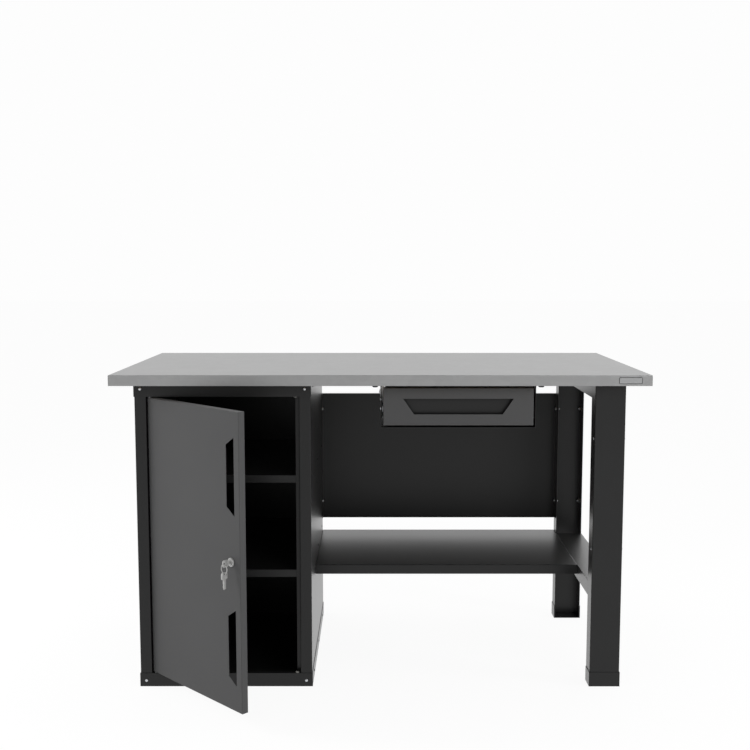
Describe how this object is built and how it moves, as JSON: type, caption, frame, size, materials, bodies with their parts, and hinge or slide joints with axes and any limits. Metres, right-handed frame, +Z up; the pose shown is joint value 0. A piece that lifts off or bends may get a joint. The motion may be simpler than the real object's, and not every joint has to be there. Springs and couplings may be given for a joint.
{
  "type": "workbench with side cabinet",
  "caption": "Steel workshop bench with a clad worktop, a lockable side cabinet with shelves, a hanging drawer, a lower shelf and an open leg frame.",
  "frame": {"origin": "on the floor, in the middle of the space that the bench takes with its door ajar", "axes": "+X along the bench to the leg frame, +Y from the front to the back, +Z up"},
  "size_m": [1.4, 0.915, 0.845],
  "materials": {
    "black_powder_coat": "fine satin powder coat",
    "grey_powder_coat": "fine satin powder coat",
    "galvanised_steel": "galvanised sheet with faint spangle",
    "plywood": "raw board",
    "zinc_plate": "bright zinc plate",
    "nickel_plate": "bright nickel",
    "nylon": "natural nylon"
  },
  "bodies": {
    "frame": {"worktop_skin": "galvanised_steel", "worktop_board": "plywood", "cabinet_left_side": "black_powder_coat", "cabinet_right_side": "black_powder_coat", "cabinet_back": "black_powder_coat", "cabinet_top_cap": "black_powder_coat", "cabinet_base_tray": "black_powder_coat", "cabinet_shelf_upper": "black_powder_coat", "cabinet_shelf_lower": "black_powder_coat", "shelf_bracket_upper_left": "black_powder_coat", "shelf_bracket_upper_right": "black_powder_coat", "shelf_bracket_lower_left": "black_powder_coat", "shelf_bracket_lower_right": "black_powder_coat", "front_leg": "black_powder_coat", "rear_leg": "black_powder_coat", "front_foot": "black_powder_coat", "rear_foot": "black_powder_coat", "upper_side_rail": "black_powder_coat", "lower_side_rail": "black_powder_coat", "back_panel": "black_powder_coat", "lower_shelf": "black_powder_coat", "drawer_casing": "black_powder_coat", "hinge_pin_top": "zinc_plate", "hinge_pin_bottom": "zinc_plate", "slide_outer_left": "zinc_plate", "slide_outer_right": "zinc_plate", "spare_bush_top": "nylon", "spare_bush_bottom": "nylon"},
    "door": {"door_panel": "grey_powder_coat", "lock_body": "nickel_plate", "lock_nut": "zinc_plate"},
    "lock_core": {"lock_plug": "nickel_plate", "lock_cam": "zinc_plate", "cam_screw": "zinc_plate"},
    "key": {"key": "nickel_plate"},
    "key_ring": {"key_ring": "nickel_plate"},
    "spare_key": {"spare_key": "nickel_plate"},
    "drawer": {"drawer_box": "black_powder_coat", "drawer_front": "grey_powder_coat", "slide_inner_left": "zinc_plate", "slide_inner_right": "zinc_plate"},
    "slide_middle_left": {"slide_middle_left": "zinc_plate"},
    "ball_cage_outer_left": {"ball_cage_outer_left": "zinc_plate"},
    "ball_cage_inner_left": {"ball_cage_inner_left": "zinc_plate"},
    "slide_middle_right": {"slide_middle_right": "zinc_plate"},
    "ball_cage_outer_right": {"ball_cage_outer_right": "zinc_plate"},
    "ball_cage_inner_right": {"ball_cage_inner_right": "zinc_plate"}
  },
  "joints": [
    {"name": "door_hinge", "type": "hinge", "parent": "frame", "child": "door", "pos_m": [-0.6017, -0.18403, 0.4], "axis": [0, 0, -1], "range_deg": [-45, 70]},
    {"name": "lock_turn", "type": "hinge", "parent": "door", "child": "lock_core", "pos_m": [-0.35987, -0.43293, 0.41275], "axis": [0.7071, 0.7071, 0], "range_deg": [0, 90]},
    {"name": "key_pull", "type": "slide", "parent": "lock_core", "child": "key", "axis": [-0.7071, -0.7071, 0], "range_m": [0, 0.022]},
    {"name": "ring_swing", "type": "hinge", "parent": "key", "child": "key_ring", "pos_m": [-0.37564, -0.4487, 0.41105], "axis": [-0.7071, 0.7071, 0], "range_deg": [-12, 60]},
    {"name": "spare_key_swing", "type": "hinge", "parent": "key_ring", "child": "spare_key", "pos_m": [-0.37564, -0.4487, 0.38905], "axis": [-0.7071, 0.7071, 0], "range_deg": [-8, 45]},
    {"name": "drawer_slide", "type": "slide", "parent": "frame", "child": "drawer", "axis": [0, -1, 0], "range_m": [0, 0.35]},
    {"name": "slide_middle_left_travel", "type": "slide", "parent": "frame", "child": "slide_middle_left", "axis": [0, -1, 0], "range_m": [0, 0.175]},
    {"name": "ball_cage_outer_left_travel", "type": "slide", "parent": "frame", "child": "ball_cage_outer_left", "axis": [0, -1, 0], "range_m": [0, 0.0875]},
    {"name": "ball_cage_inner_left_travel", "type": "slide", "parent": "frame", "child": "ball_cage_inner_left", "axis": [0, -1, 0], "range_m": [0, 0.2625]},
    {"name": "slide_middle_right_travel", "type": "slide", "parent": "frame", "child": "slide_middle_right", "axis": [0, -1, 0], "range_m": [0, 0.175]},
    {"name": "ball_cage_outer_right_travel", "type": "slide", "parent": "frame", "child": "ball_cage_outer_right", "axis": [0, -1, 0], "range_m": [0, 0.0875]},
    {"name": "ball_cage_inner_right_travel", "type": "slide", "parent": "frame", "child": "ball_cage_inner_right", "axis": [0, -1, 0], "range_m": [0, 0.2625]}
  ],
  "couplings": [
    {"joint": "slide_middle_left_travel", "follows": "drawer_slide", "ratio": 0.5},
    {"joint": "ball_cage_outer_left_travel", "follows": "drawer_slide", "ratio": 0.25},
    {"joint": "ball_cage_inner_left_travel", "follows": "drawer_slide", "ratio": 0.75},
    {"joint": "slide_middle_right_travel", "follows": "drawer_slide", "ratio": 0.5},
    {"joint": "ball_cage_outer_right_travel", "follows": "drawer_slide", "ratio": 0.25},
    {"joint": "ball_cage_inner_right_travel", "follows": "drawer_slide", "ratio": 0.75}
  ]
}
